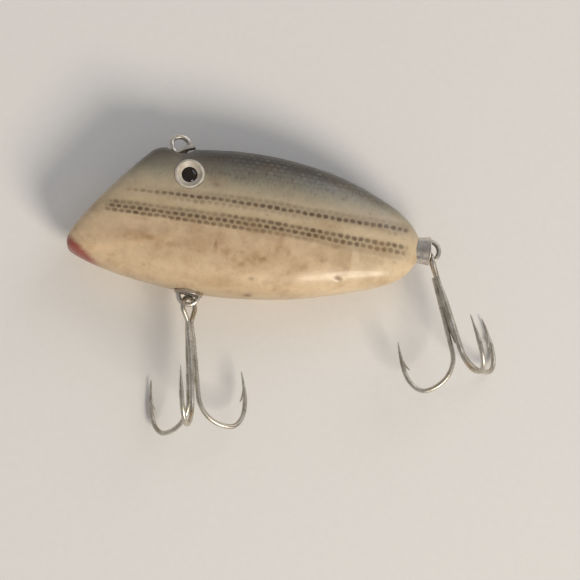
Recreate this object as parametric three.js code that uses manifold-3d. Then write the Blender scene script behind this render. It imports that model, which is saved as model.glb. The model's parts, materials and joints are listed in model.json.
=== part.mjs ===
// A lipless vibrating fishing lure: a thin painted fish body with a flat slanted forehead, dished
// eyes, a wire line tie on the head, and two treble hooks that swing on screw eyes in cups.
// Millimetres, +Z up. The lure lies on its right side: +X runs from nose to tail, +Y towards the back.

import * as THREE from "three";
import { mergeVertices } from "three/addons/utils/BufferGeometryUtils.js";
import Module from "manifold-3d";

const wasm = await Module();
wasm.setup();

// Body. The side outline starts at the nose and runs along belly, tail and back to the brow.
const NOSE_TOP = [0.2, 1.5];
const BELLY_LINE = [[0, 0.2], [0.9, -1.35], [6.5, -3.3], [15, -4.7], [25.5, -5.3], [38, -4.0], [49, -1.15]];
const TAIL_LINE = [[56.2, 1.7], [59.3, 5.7], [59.0, 9.8], [54.8, 13.75]];
const BACK_LINE = [[45.5, 17.65], [36, 19.4], [27, 19.65], [18.5, 18.75], [14, 18.1]];
const BROW = [12.2, 17.35];
const FOREHEAD_BOW = [4.7, 9.4];
const CROWN = new THREE.Vector2(26, 5.2);
const HALF_THICKNESS = 7.1;
const TAIL_THINNING = 0.3;
const NOSE_THINNING = 0.3;
const SIDE_FULLNESS = 3;
const FOREHEAD_FULLNESS = 8;
const FOREHEAD_FADE = 1.3;
const BODY_AROUND = 68;
const BODY_OVER = 16;

// The small flat spot that the lure lies on is planed off the right side by a wide block.
const REST_FLAT_DEPTH = 0.07;
const PLANING_BLOCK = { length: 90, width: 60, height: 1 };

// Wire, and the pilot holes that its shanks are screwed into.
const WIRE_RADIUS = 0.41;
const WIRE_SIDES = 8;
const PILOT_RADIUS = 0.65;
const PILOT_SIDES = 12;
const SHANK_IN_WOOD = 9;

// Hook hangers: a screw eye whose ring stands half out of a flared metal cup.
const RING_RADIUS = 1.7;
const RING_STEPS = 16;
const CUP = { rim: 2.48, neck: 2.38, base: 2.08, length: 3.6, wall: 0.22, floor: 0.3, lip: 0.2, sides: 24 };
const CUP_GAP = 0.3;
const RING_BELOW_RIM = 0.02;
const TAIL_RING = new THREE.Vector3(61.22, 7.75, 0);
const TAIL_CUP_LEAN = 3.4;
const BELLY_RING = new THREE.Vector3(21.5, -5.72, 0);
const BELLY_CUP_LEAN = -3;

// Line tie: one wire that rises from the back, runs round an oval loop, turns sharply below it
// and crosses its own foot, over a groove that is filed across the back.
const TIE_CENTRE = new THREE.Vector3(16.5, 19.65, 0);
const TIE_RADIUS = 0.45;
const TIE_LOOP = { halfLength: 1.5, halfHeight: 1.22, from: -42, to: 205, steps: 10 };
const TIE_RISE = 1.05;
const TIE_SHANK_BEND = 1.1;
const TIE_TURN = [[-1.12, -1.25], [-0.4, -1.66]];
const TIE_CROSSING = [0.65, -1.02];
const TIE_END = [2.52, -0.24];
const TIE_STEPS = 38;
const TIE_GROOVE = { radius: 2.9, depth: 1.45, sides: 24 };

// Eyes: a dished ring with a bead for the pupil, leaning a little towards the back.
const EYE = { x: 18.74, y: 13.55, lean: 4, radius: 2.55, proud: 0.1, depth: 1.2, bevel: 0.2, sides: 24 };
const DISH = { rimRadius: 2.15, foot: 1.3, depth: 0.6, belly: 0.6, socket: 0.95 };
const PUPIL = { radius: 1.08, edge: 0.3, crown: 0.34, shoulder: 0.7, steps: 4, sides: 16 };
const EYE_GAP = 0.2;

// Treble hooks. Along is counted from the hanger ring's centre, out from the shank's middle.
const EYELET = { top: 0.48, straight: 0.3, closes: 4.6, shankHalf: 0.47, overlap: 1.5 };
const HOOK = {
  shankOut: 1,
  leaves: 17,
  bottomOut: 6.95,
  bottomAlong: 22.42,
  legOut: 9.79,
  legAlong: 17.89,
  tipOut: 9.41,
  tipAlong: 13.03,
};
const HOOK_STEPS = 22;
const EYELET_STEPS = 20;
const POINT_LENGTH = 4.6;
const POINT_SHOULDER = 0.55;
const TIP_RADIUS = 0.06;
const BARB = { root: 16.4, seat: 0.1, tip: 18.3, reach: 1.0, radius: 0.26, sides: 6 };
const SINGLE_HOOK_DROP = 0.4;
const BRAZE = { radius: 0.52, from: 5.2, to: 16, sides: 10 };
const BELLY_TREBLE = {
  swing: 10.95, tilt: 1.7, single: 224, near: 103, far: -24.5, eyelet: 128, halfWidth: 1.7,
};
const TAIL_TREBLE = {
  swing: 23.6, tilt: 0.6, single: 190, near: 78.5, far: -43, eyelet: 94, halfWidth: 1.3,
};

const PAINT = new THREE.MeshStandardMaterial({ color: 0xcdb48c, roughness: 0.35, metalness: 0 });
const EYE_WHITE = new THREE.MeshStandardMaterial({ color: 0xd8d0c2, roughness: 0.4, metalness: 0 });
const PUPIL_BLACK = new THREE.MeshStandardMaterial({ color: 0x120e0b, roughness: 0.1, metalness: 0 });
const CUP_METAL = new THREE.MeshStandardMaterial({ color: 0xb3aa9c, roughness: 0.35, metalness: 1 });
const WIRE_METAL = new THREE.MeshStandardMaterial({ color: 0xc2bbae, roughness: 0.3, metalness: 1 });
const HOOK_METAL = new THREE.MeshStandardMaterial({ color: 0xa49b8d, roughness: 0.35, metalness: 1 });

const degrees = THREE.MathUtils.degToRad;
const vectors = (pairs) => pairs.map(([x, y]) => new THREE.Vector2(x, y));

// A closed geometry as a solid that can be joined and cut.
function toSolid(geometry) {
  const plain = geometry.clone();
  plain.deleteAttribute("normal");
  plain.deleteAttribute("uv");
  const merged = mergeVertices(plain, 1e-4);
  return new wasm.Manifold(new wasm.Mesh({
    numProp: 3,
    vertProperties: new Float32Array(merged.getAttribute("position").array),
    triVerts: new Uint32Array(merged.index.array),
  }));
}

function toGeometry(solid) {
  const mesh = solid.getMesh();
  const geometry = new THREE.BufferGeometry();
  geometry.setAttribute("position", new THREE.BufferAttribute(mesh.vertProperties, 3));
  geometry.setIndex(new THREE.BufferAttribute(mesh.triVerts, 1));
  geometry.computeVertexNormals();
  return geometry;
}

function join(geometries) {
  return toGeometry(geometries.map(toSolid).reduce((whole, next) => whole.add(next)));
}

function piece(name, geometry, material) {
  const mesh = new THREE.Mesh(geometry, material);
  mesh.name = name;
  return mesh;
}

// A round wire along a curve: the rings of a cylinder are set square to the curve, and
// radiusAt gives the radius at each share of the length.
function wire(curve, steps, radiusAt = () => WIRE_RADIUS) {
  const tube = new THREE.CylinderGeometry(1, 1, 1, WIRE_SIDES, steps);
  const frames = curve.computeFrenetFrames(steps, false);
  const place = tube.getAttribute("position");
  for (let i = 0; i < place.count; i += 1) {
    const step = Math.round((place.getY(i) + 0.5) * steps);
    const radius = radiusAt(step / steps);
    const spot = curve.getPointAt(step / steps)
      .addScaledVector(frames.binormals[step], place.getX(i) * radius)
      .addScaledVector(frames.normals[step], place.getZ(i) * radius);
    place.setXYZ(i, spot.x, spot.y, spot.z);
  }
  return tube;
}

// The side outline, counter-clockwise from the top of the nose.
function bodyOutline() {
  const outline = new THREE.Path();
  outline.moveTo(...NOSE_TOP);
  outline.splineThru(vectors([...BELLY_LINE, ...TAIL_LINE, ...BACK_LINE, BROW]));
  outline.quadraticCurveTo(...FOREHEAD_BOW, ...NOSE_TOP);
  return outline.getSpacedPoints(BODY_AROUND).slice(0, BODY_AROUND);
}

const OUTLINE = bodyOutline();

// How square the section is towards an outline point: crowned sides and back, a flat forehead.
function fullnessAt(point) {
  const slope = (BROW[1] - NOSE_TOP[1]) / (BROW[0] - NOSE_TOP[0]);
  const line = NOSE_TOP[1] + slope * (point.x - NOSE_TOP[0]);
  const behind = Math.max(0, (line - point.y) / Math.hypot(1, slope));
  const onForehead = Math.exp(-Math.pow(behind / FOREHEAD_FADE, 2));
  return THREE.MathUtils.lerp(SIDE_FULLNESS, FOREHEAD_FULLNESS, onForehead);
}

// Half the body's thickness on the crown line, thinner towards the nose and the tail.
function halfThicknessAt(x) {
  const behind = Math.max(0, x - CROWN.x) / (TAIL_RING.x - CROWN.x);
  const ahead = Math.max(0, CROWN.x - x) / CROWN.x;
  return HALF_THICKNESS * (1 - TAIL_THINNING * behind ** 2 - NOSE_THINNING * ahead ** 2);
}

// The body is a ball whose equator is stretched to the side outline.
function bodyForm() {
  const form = new THREE.SphereGeometry(1, BODY_AROUND, BODY_OVER);
  const place = form.getAttribute("position");
  const turn = form.getAttribute("uv");
  for (let i = 0; i < place.count; i += 1) {
    const around = Math.round(turn.getX(i) * BODY_AROUND);
    const edge = OUTLINE[THREE.MathUtils.euclideanModulo(around, BODY_AROUND)];
    const power = 2 / fullnessAt(edge);
    const polar = (1 - turn.getY(i)) * Math.PI;
    const onPole = turn.getY(i) === 0 || turn.getY(i) === 1;
    const out = onPole ? 0 : Math.pow(Math.sin(polar), power);
    const up = Math.sign(Math.cos(polar)) * Math.pow(Math.abs(Math.cos(polar)), power);
    const x = THREE.MathUtils.lerp(CROWN.x, edge.x, out);
    const y = THREE.MathUtils.lerp(CROWN.y, edge.y, out);
    place.setXYZ(i, x, y, up * halfThicknessAt(x));
  }
  return form;
}

// Height of the body's side above the middle plane at a point of the side view.
function sideHeight(x, y) {
  const spot = new THREE.Vector2(x, y).sub(CROWN);
  const heading = (edge) => edge.clone().sub(CROWN).normalize().dot(spot.clone().normalize());
  const edge = OUTLINE.reduce((best, next) => (heading(next) > heading(best) ? next : best));
  const out = spot.length() / edge.distanceTo(CROWN);
  const power = fullnessAt(edge);
  return halfThicknessAt(x) * Math.pow(1 - Math.pow(out, power), 1 / power);
}

// A rod, plug or bore whose axis is Y in its own frame, from one height up to another.
function rod(radiusLow, radiusHigh, low, high, sides) {
  const shape = new THREE.CylinderGeometry(radiusHigh, radiusLow, high - low, sides);
  shape.translate(0, (high + low) / 2, 0);
  return shape;
}

// Sets a hanger's own frame, +Y out of the cup, at its ring on the lure.
function hangerFrame(ring, turn) {
  return new THREE.Matrix4().makeRotationZ(degrees(turn)).setPosition(ring);
}

const TAIL_FRAME = hangerFrame(TAIL_RING, -90 + TAIL_CUP_LEAN);
const BELLY_FRAME = hangerFrame(BELLY_RING, 180 + BELLY_CUP_LEAN);
const TIE_FRAME = hangerFrame(TIE_CENTRE, 0);

// The hole for a shank, from below its end up to a height where it meets a wider hole.
function pilotHole(top) {
  return rod(PILOT_RADIUS, PILOT_RADIUS, -SHANK_IN_WOOD - CUP_GAP, top, PILOT_SIDES);
}

// The hole that one cup and its screw eye are set in.
function hangerBore(frame) {
  const floor = RING_BELOW_RIM - CUP.length - CUP_GAP;
  const seat = rod(CUP.base + CUP_GAP, CUP.rim + CUP_GAP, floor, RING_BELOW_RIM + CUP_GAP, CUP.sides);
  const pilot = pilotHole(floor + CUP_GAP);
  return toSolid(seat).add(toSolid(pilot)).transform(frame.elements);
}

// The groove across the back and the pilot hole under the line tie.
function tieBore() {
  const { radius, depth, sides } = TIE_GROOVE;
  const groove = rod(radius, radius, -HALF_THICKNESS, HALF_THICKNESS, sides);
  groove.rotateX(Math.PI / 2);
  groove.translate(0, radius - depth - TIE_LOOP.halfHeight, 0);
  const pilot = pilotHole(-TIE_LOOP.halfHeight);
  return toSolid(groove).add(toSolid(pilot)).transform(TIE_FRAME.elements);
}

// Sets an eye's own frame, +Y out of the dish, on one side of the head.
function eyeFrame(side) {
  const turn = new THREE.Matrix4().makeRotationX(side * degrees(90 - EYE.lean));
  return turn.setPosition(EYE.x, EYE.y, side * sideHeight(EYE.x, EYE.y));
}

function eyeSocket(side) {
  const bore = rod(EYE.radius + EYE_GAP, EYE.radius + EYE_GAP, -EYE.depth - EYE_GAP, EYE.radius, EYE.sides);
  return toSolid(bore).transform(eyeFrame(side).elements);
}

function bodyGeometry() {
  const { length, width, height } = PLANING_BLOCK;
  const block = new THREE.BoxGeometry(length, width, height);
  block.translate(CROWN.x, CROWN.y, REST_FLAT_DEPTH - HALF_THICKNESS - height / 2);
  return toGeometry(toSolid(bodyForm())
    .subtract(hangerBore(TAIL_FRAME))
    .subtract(hangerBore(BELLY_FRAME))
    .subtract(tieBore())
    .subtract(eyeSocket(1))
    .subtract(eyeSocket(-1))
    .subtract(toSolid(block)));
}

// A dished ring, turned about its own +Y, with a flat-bottomed socket for the pupil.
function eyeGeometry() {
  const profile = vectors([
    [0, -EYE.depth],
    [EYE.radius - EYE.bevel, -EYE.depth],
    [EYE.radius, EYE.bevel - EYE.depth],
    [EYE.radius, EYE.proud - EYE.bevel],
    [DISH.rimRadius, EYE.proud],
    [(DISH.rimRadius + DISH.foot) / 2, EYE.proud - DISH.depth * DISH.belly],
    [DISH.foot, EYE.proud - DISH.depth],
    [DISH.foot, -DISH.socket],
    [0, -DISH.socket],
  ]);
  return new THREE.LatheGeometry(profile, EYE.sides);
}

// A low bead with a flat foot and a crowned top.
function pupilGeometry() {
  const base = EYE_GAP - DISH.socket;
  const rim = base + PUPIL.edge;
  const profile = new THREE.Path();
  profile.moveTo(0, base);
  profile.lineTo(PUPIL.radius, base);
  profile.lineTo(PUPIL.radius, rim);
  profile.quadraticCurveTo(PUPIL.radius * PUPIL.shoulder, rim + PUPIL.crown, 0, rim + PUPIL.crown);
  return new THREE.LatheGeometry(profile.getPoints(PUPIL.steps), PUPIL.sides);
}

// The flared cup, turned about +Y: a thin wall, a holed floor and a rolled lip at the rim.
function cupGeometry() {
  const bottom = RING_BELOW_RIM - CUP.length;
  const lip = RING_BELOW_RIM - CUP.lip;
  const profile = vectors([
    [PILOT_RADIUS, bottom],
    [CUP.base, bottom],
    [CUP.neck, lip],
    [CUP.rim, lip],
    [CUP.rim, RING_BELOW_RIM],
    [CUP.rim - CUP.wall, RING_BELOW_RIM],
    [CUP.base - CUP.wall, bottom + CUP.floor],
    [PILOT_RADIUS, bottom + CUP.floor],
    [PILOT_RADIUS, bottom],
  ]);
  return new THREE.LatheGeometry(profile, CUP.sides);
}

// A closed ring on a straight shank that is screwed into the body.
function screwEyeGeometry() {
  const ring = new THREE.TorusGeometry(RING_RADIUS, WIRE_RADIUS, WIRE_SIDES, RING_STEPS);
  const shank = rod(WIRE_RADIUS, WIRE_RADIUS, -SHANK_IN_WOOD, -RING_RADIUS, WIRE_SIDES);
  return join([ring, shank]);
}

// The line tie's wire: up the shank, round the loop, then across in front of its own foot.
function lineTieGeometry() {
  const loop = [];
  for (let step = 0; step <= TIE_LOOP.steps; step += 1) {
    const share = step / TIE_LOOP.steps;
    const turn = degrees(THREE.MathUtils.lerp(TIE_LOOP.from, TIE_LOOP.to, share));
    const across = TIE_LOOP.halfLength * Math.cos(turn);
    const up = TIE_LOOP.halfHeight * Math.sin(turn);
    loop.push(new THREE.Vector3(across, up, TIE_RISE * share));
  }
  const path = new THREE.CatmullRomCurve3([
    new THREE.Vector3(0, -SHANK_IN_WOOD, 0),
    new THREE.Vector3(0, -TIE_LOOP.halfHeight - 2 * TIE_SHANK_BEND, 0),
    new THREE.Vector3(0, -TIE_LOOP.halfHeight - TIE_SHANK_BEND, 0),
    ...loop,
    ...TIE_TURN.map((spot) => new THREE.Vector3(...spot, TIE_RISE)),
    new THREE.Vector3(...TIE_CROSSING, TIE_RISE),
    new THREE.Vector3(...TIE_END, TIE_RISE),
  ], false, "centripetal");
  return wire(path, TIE_STEPS, () => TIE_RADIUS);
}

// One hook's centre line as points of its own plane: out from the shank, along the shank.
function hookPlan(drop) {
  const plan = new THREE.Path();
  plan.moveTo(EYELET.shankHalf, EYELET.closes);
  plan.lineTo(HOOK.shankOut, HOOK.leaves + drop);
  const long = [HOOK.bottomOut - HOOK.shankOut, HOOK.bottomAlong - HOOK.leaves];
  plan.absellipse(HOOK.bottomOut, HOOK.leaves + drop, ...long, Math.PI, Math.PI / 2, true);
  const short = [HOOK.legOut - HOOK.bottomOut, HOOK.bottomAlong - HOOK.legAlong];
  plan.absellipse(HOOK.bottomOut, HOOK.legAlong + drop, ...short, Math.PI / 2, 0, true);
  const leg = HOOK.legAlong - (HOOK.legAlong - HOOK.tipAlong) / 2;
  plan.quadraticCurveTo(HOOK.legOut, leg + drop, HOOK.tipOut, HOOK.tipAlong + drop);
  return plan;
}

// Puts a point of a hook's plane into the treble's frame: the shank runs down -Y, and the
// turn about it starts at +X and passes +Z at a quarter.
function onTreble(out, along, turn) {
  return new THREE.Vector3(out * Math.cos(degrees(turn)), -along, out * Math.sin(degrees(turn)));
}

// One hook: a wire with a long tapered point, and a barb cut up from the inner side of the leg.
function hookPieces(turn, drop) {
  const plan = hookPlan(drop);
  const line = new THREE.CatmullRomCurve3(
    plan.getSpacedPoints(HOOK_STEPS * 2).map((p) => onTreble(p.x, p.y, turn)),
  );
  const pointShare = POINT_LENGTH / plan.getLength();
  const radiusAt = (along) => {
    const left = Math.min(1, (1 - along) / pointShare);
    const swell = Math.sqrt(left) * THREE.MathUtils.lerp(POINT_SHOULDER, 1, left);
    return THREE.MathUtils.lerp(TIP_RADIUS, WIRE_RADIUS, swell);
  };
  const barb = new THREE.CylinderGeometry(TIP_RADIUS, BARB.radius, 1, BARB.sides);
  barb.translate(0, 0.5, 0);
  const root = onTreble(HOOK.legOut - BARB.seat, BARB.root + drop, turn);
  const tip = onTreble(HOOK.legOut - BARB.reach, BARB.tip + drop, turn);
  const run = tip.clone().sub(root);
  barb.scale(1, run.length(), 1);
  const upright = new THREE.Vector3(0, 1, 0);
  barb.applyQuaternion(new THREE.Quaternion().setFromUnitVectors(upright, run.clone().normalize()));
  barb.translate(root.x, root.y, root.z);
  return [wire(line, HOOK_STEPS, radiusAt), barb];
}

// The eyelet that the pair of hooks share: the wire leaves one shank, rounds a teardrop and
// comes back down beside itself.
function eyelet(turn, halfWidth) {
  const { top, straight, closes, shankHalf, overlap } = EYELET;
  const middle = top + halfWidth;
  const plan = new THREE.Path();
  plan.moveTo(-shankHalf, closes + overlap);
  plan.lineTo(-shankHalf, closes);
  plan.lineTo(-halfWidth, middle + straight);
  plan.absarc(0, middle, halfWidth, Math.PI, 2 * Math.PI, false);
  plan.lineTo(halfWidth, middle + straight);
  plan.lineTo(shankHalf, closes);
  plan.lineTo(shankHalf, closes + overlap);
  const points = plan.getSpacedPoints(2 * EYELET_STEPS).map((p) => onTreble(p.x, p.y, turn));
  return wire(new THREE.CatmullRomCurve3(points), EYELET_STEPS);
}

// A treble hook: the pair of hooks bent from one wire, the single hook and the braze between.
function trebleGeometry(setting) {
  const braze = rod(BRAZE.radius, BRAZE.radius, -BRAZE.to, -BRAZE.from, BRAZE.sides);
  return join([
    eyelet(setting.eyelet, setting.halfWidth),
    ...hookPieces(setting.near, 0),
    ...hookPieces(setting.far, 0),
    ...hookPieces(setting.single, SINGLE_HOOK_DROP),
    braze,
  ]);
}

// Hangs a treble on a ring: turned about its shank, tilted off the surface, swung in the side view.
function hungTreble(name, ring, setting) {
  const mesh = piece(name, trebleGeometry(setting), HOOK_METAL);
  const tilt = new THREE.Group();
  tilt.rotation.x = -degrees(setting.tilt);
  tilt.add(mesh);
  const hanger = new THREE.Group();
  hanger.rotation.z = degrees(setting.swing);
  hanger.position.copy(ring);
  hanger.add(tilt);
  return hanger;
}

function placed(mesh, frame) {
  mesh.applyMatrix4(frame);
  return mesh;
}

const lure = new THREE.Group();
lure.add(piece("body", bodyGeometry(), PAINT));
for (const [side, word] of [[1, "left"], [-1, "right"]]) {
  lure.add(placed(piece(`${word}_eye`, eyeGeometry(), EYE_WHITE), eyeFrame(side)));
  lure.add(placed(piece(`${word}_pupil`, pupilGeometry(), PUPIL_BLACK), eyeFrame(side)));
}
lure.add(placed(piece("line_tie", lineTieGeometry(), WIRE_METAL), TIE_FRAME));
for (const [place, frame] of [["belly", BELLY_FRAME], ["tail", TAIL_FRAME]]) {
  lure.add(placed(piece(`${place}_cup`, cupGeometry(), CUP_METAL), frame));
  lure.add(placed(piece(`${place}_screw_eye`, screwEyeGeometry(), WIRE_METAL), frame));
}
lure.add(hungTreble("belly_treble", BELLY_RING, BELLY_TREBLE));
lure.add(hungTreble("tail_treble", TAIL_RING, TAIL_TREBLE));

// The origin is the middle of the underside of the whole lure's box.
const box = new THREE.Box3().setFromObject(lure, true);
const middle = box.getCenter(new THREE.Vector3());
lure.position.set(-middle.x, -middle.y, -box.min.z);

const part = new THREE.Group();
part.add(lure);

export default part;
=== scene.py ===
# A lipless fishing lure, lying on its right side: a thin painted wooden fish with dished eyes, a
# bent wire line tie on the head, and two treble hooks that swing on screw eyes in metal cups.

import json
import math

import bmesh
import bpy
import numpy as np
from mathutils import Matrix, Vector


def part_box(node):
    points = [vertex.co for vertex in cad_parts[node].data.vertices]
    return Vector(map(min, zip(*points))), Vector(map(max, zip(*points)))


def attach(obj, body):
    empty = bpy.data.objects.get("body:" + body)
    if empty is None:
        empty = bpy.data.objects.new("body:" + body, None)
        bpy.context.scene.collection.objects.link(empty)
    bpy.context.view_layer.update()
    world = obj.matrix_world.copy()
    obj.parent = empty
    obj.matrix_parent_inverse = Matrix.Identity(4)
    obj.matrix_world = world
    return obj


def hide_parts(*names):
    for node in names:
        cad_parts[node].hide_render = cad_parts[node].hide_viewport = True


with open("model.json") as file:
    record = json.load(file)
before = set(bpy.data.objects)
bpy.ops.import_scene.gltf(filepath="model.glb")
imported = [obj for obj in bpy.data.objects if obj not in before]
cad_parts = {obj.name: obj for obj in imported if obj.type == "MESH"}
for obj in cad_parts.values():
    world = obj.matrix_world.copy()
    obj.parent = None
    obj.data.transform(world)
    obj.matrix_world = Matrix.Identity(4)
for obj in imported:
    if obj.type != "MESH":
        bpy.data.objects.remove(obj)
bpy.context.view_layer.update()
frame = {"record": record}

# The painted body
# One block of light wood, cut and sanded to a thin fish with a flat slanted forehead, primed and
# sprayed from cream to slate grey, dotted through a net and lacquered. Old handling has stained it.

MM = 0.001
WIRE_RADIUS = 0.41
RING_RADIUS = 1.7
TAIL_RING = np.array((61.22, 7.75, 0.0))
BELLY_RING = np.array((21.5, -5.72, 0.0))

NOSE_TOP = (0.2, 1.5)
BELLY_LINE = [(0, 0.2), (0.9, -1.35), (6.5, -3.3), (15, -4.7), (25.5, -5.3), (38, -4.0), (49, -1.15)]
TAIL_LINE = [(56.2, 1.7), (59.3, 5.7), (59.0, 9.8), (54.8, 13.75)]
BACK_LINE = [(45.5, 17.65), (36, 19.4), (27, 19.65), (18.5, 18.75), (14, 18.1)]
BROW = (12.2, 17.35)
FOREHEAD_BOW = (4.7, 9.4)
CROWN = np.array((26.0, 5.2))
HALF_THICKNESS = 7.1
END_THINNING = 0.3
SIDE_FULLNESS = 3
FOREHEAD_FULLNESS = 8
FOREHEAD_FADE = 1.3
REST_FLAT_DEPTH = 0.07
BODY_AROUND = 480
BODY_RINGS = 70
EDGE_SANDING = 4
FOREHEAD_SANDING = 100

# Measures on the lure start at its nose in the middle plane, in millimetres, with x to the tail
# and y to the back. The tail hook swings about its ring's middle, which fixes that start.
swings = {joint["name"]: joint for joint in frame["record"]["behaviour"]["joints"]}
LURE_START = np.array(swings["tail_hook_swing"]["pos_m"]) / MM - TAIL_RING


def in_frame(points):
    """Points of the lure, in millimetres, as points of the frame, in metres."""
    return (np.asarray(points, float) + LURE_START) * MM


def batten(points, steps=40):
    """The curve of a thin batten bent through the points."""
    nails = np.array([points[0], *points, points[-1]], float)
    t = np.linspace(0, 1, steps, endpoint=False)[:, None]
    spans = []
    for before, start, end, after in zip(nails, nails[1:], nails[2:], nails[3:]):
        lead, leave = (end - before) / 2, (after - start) / 2
        cubic = (2 * start - 2 * end + lead + leave) * t**3
        square = (3 * end - 3 * start - 2 * lead - leave) * t**2
        spans.append(cubic + square + lead * t + start)
    return np.vstack([*spans, nails[-1:]])


def evenly(points, count, closed=False):
    """The same line with its points at even distances."""
    points = np.asarray(points, float)
    run = np.concatenate([[0], np.cumsum(np.linalg.norm(np.diff(points, axis=0), axis=1))])
    at = np.linspace(0, run[-1], count, endpoint=not closed)
    return np.stack([np.interp(at, run, column) for column in points.T], axis=1)


def sanded(points, passes, closed=False):
    """The same line with its corners rounded a little more by each pass."""
    points = np.array(points, float)
    for _ in range(passes):
        rounded = (np.roll(points, 1, axis=0) + 2 * points + np.roll(points, -1, axis=0)) / 4
        if not closed:
            rounded[[0, -1]] = points[[0, -1]]
        points = rounded
    return points


def bow(start, pull, end, steps=40):
    """A shallow bow from start to end, drawn towards a point between them."""
    t = np.linspace(0, 1, steps)[:, None]
    start, pull, end = (np.array(p, float) for p in (start, pull, end))
    return (1 - t) ** 2 * start + 2 * t * (1 - t) * pull + t**2 * end


def side_outline():
    """The side outline of the body, starting at the top of the nose and running along the belly."""
    round_the_back = batten([NOSE_TOP, *BELLY_LINE, *TAIL_LINE, *BACK_LINE, BROW])
    forehead = bow(BROW, FOREHEAD_BOW, NOSE_TOP)
    outline = evenly(np.vstack([round_the_back, forehead[1:]]), BODY_AROUND, closed=True)
    return sanded(outline, EDGE_SANDING, closed=True)


def fullness(outline):
    """How square the section is towards each outline point: crowned sides, a flat forehead."""
    slope = (BROW[1] - NOSE_TOP[1]) / (BROW[0] - NOSE_TOP[0])
    behind = (NOSE_TOP[1] + slope * (outline[:, 0] - NOSE_TOP[0]) - outline[:, 1]) / math.hypot(1, slope)
    on_forehead = np.exp(-((np.maximum(behind, 0) / FOREHEAD_FADE) ** 2))
    power = SIDE_FULLNESS + (FOREHEAD_FULLNESS - SIDE_FULLNESS) * on_forehead
    return sanded(power, FOREHEAD_SANDING, closed=True)


def half_thickness(x):
    behind = np.maximum(0, x - CROWN[0]) / (TAIL_RING[0] - CROWN[0])
    ahead = np.maximum(0, CROWN[0] - x) / CROWN[0]
    return HALF_THICKNESS * (1 - END_THINNING * (behind**2 + ahead**2))


OUTLINE = side_outline()
FULLNESS = fullness(OUTLINE)
BEARINGS = np.arctan2(OUTLINE[:, 1] - CROWN[1], OUTLINE[:, 0] - CROWN[0])
REACHES = np.hypot(OUTLINE[:, 0] - CROWN[0], OUTLINE[:, 1] - CROWN[1])


def side_height(x, y):
    """Height of the body's side above the middle plane at points of the side view."""
    bearing = np.arctan2(y - CROWN[1], x - CROWN[0])
    reach, power = (np.interp(bearing, BEARINGS, edge, period=2 * math.pi) for edge in (REACHES, FULLNESS))
    share = np.hypot(x - CROWN[0], y - CROWN[1]) / reach
    return half_thickness(x) * np.maximum(1 - share**power, 0) ** (1 / power)


def body_side():
    """One side of the body as lines from the crown out to the outline."""
    polar = np.linspace(0, math.pi / 2, 400)
    places = []
    for edge, power in zip(OUTLINE, FULLNESS):
        flat = CROWN + (edge - CROWN) * (np.sin(polar) ** (2 / power))[:, None]
        up = np.maximum(np.cos(polar), 0) ** (2 / power)
        line = np.column_stack([flat, up * half_thickness(flat[:, 0])])
        places.append(evenly(line, BODY_RINGS + 1))
    return np.array(places)


def wrapped(points, steps=64):
    """Where a net wrapped round the body touches each point: along the lure, and round its
    section, measured over the surface from the crown's height."""
    share = np.linspace(0, 1, steps)
    along = np.repeat(points[:, :1], steps, axis=1)
    height = CROWN[1] + (points[:, 1:2] - CROWN[1]) * share
    stride = np.hypot(np.diff(height, axis=1), np.diff(side_height(along, height), axis=1))
    return np.column_stack([points[:, 0], CROWN[1] + np.sign(points[:, 1] - CROWN[1]) * stride.sum(axis=1)])


# Stains and small spots of the side that lies uppermost: how far along the lure and round its
# section they are, how far they reach each way, and how strong they are. Dents: where, how wide
# and how deep, with the ridge of a lifted flake as a dent of less than nothing.
STAINS = [
    (11.4, 2.1, 3.4, 1.0, 0.8), (8.6, 1.8, 2.2, 0.9, 0.35), (14.4, 3.3, 2.6, 0.8, 0.4),
    (13.7, 2.0, 1.0, 0.6, 0.95), (17.6, 1.3, 2.2, 0.6, 0.6), (16.8, -0.4, 1.6, 1.0, 0.35),
    (22.2, 0.9, 1.6, 0.9, 0.5), (24.8, 2.3, 0.6, 1.6, 0.85), (25.6, 3.4, 1.4, 2.0, 0.6),
    (26.6, 1.5, 1.3, 0.9, 0.65), (27.9, 0.3, 0.8, 0.6, 0.65), (29.4, -0.3, 1.0, 0.7, 0.75),
    (31.8, 0.9, 2.3, 1.3, 0.85), (33.0, 1.9, 1.6, 0.9, 0.5), (35.2, 3.8, 0.9, 2.4, 0.75),
    (36.8, 2.6, 0.5, 2.2, 0.55), (33.3, 4.2, 0.5, 1.6, 0.4), (39.6, 0.7, 1.1, 0.9, 0.6),
    (42.6, 3.4, 1.8, 1.8, 0.5), (46.6, 1.2, 0.9, 0.8, 0.5), (26.5, -3.8, 3.2, 1.8, 0.45),
    (43.2, 8.4, 2.6, 0.8, 0.55), (42.0, 6.4, 2.4, 0.8, 0.35), (22.8, 13.2, 2.2, 1.2, 0.4),
    (7.6, -2.0, 1.5, 0.5, 0.3), (11.8, 4.9, 1.4, 0.4, 0.4), (44.4, 4.9, 2.4, 0.6, 0.5),
    (28.0, -6.0, 2.0, 1.4, 0.35),
]
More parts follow.
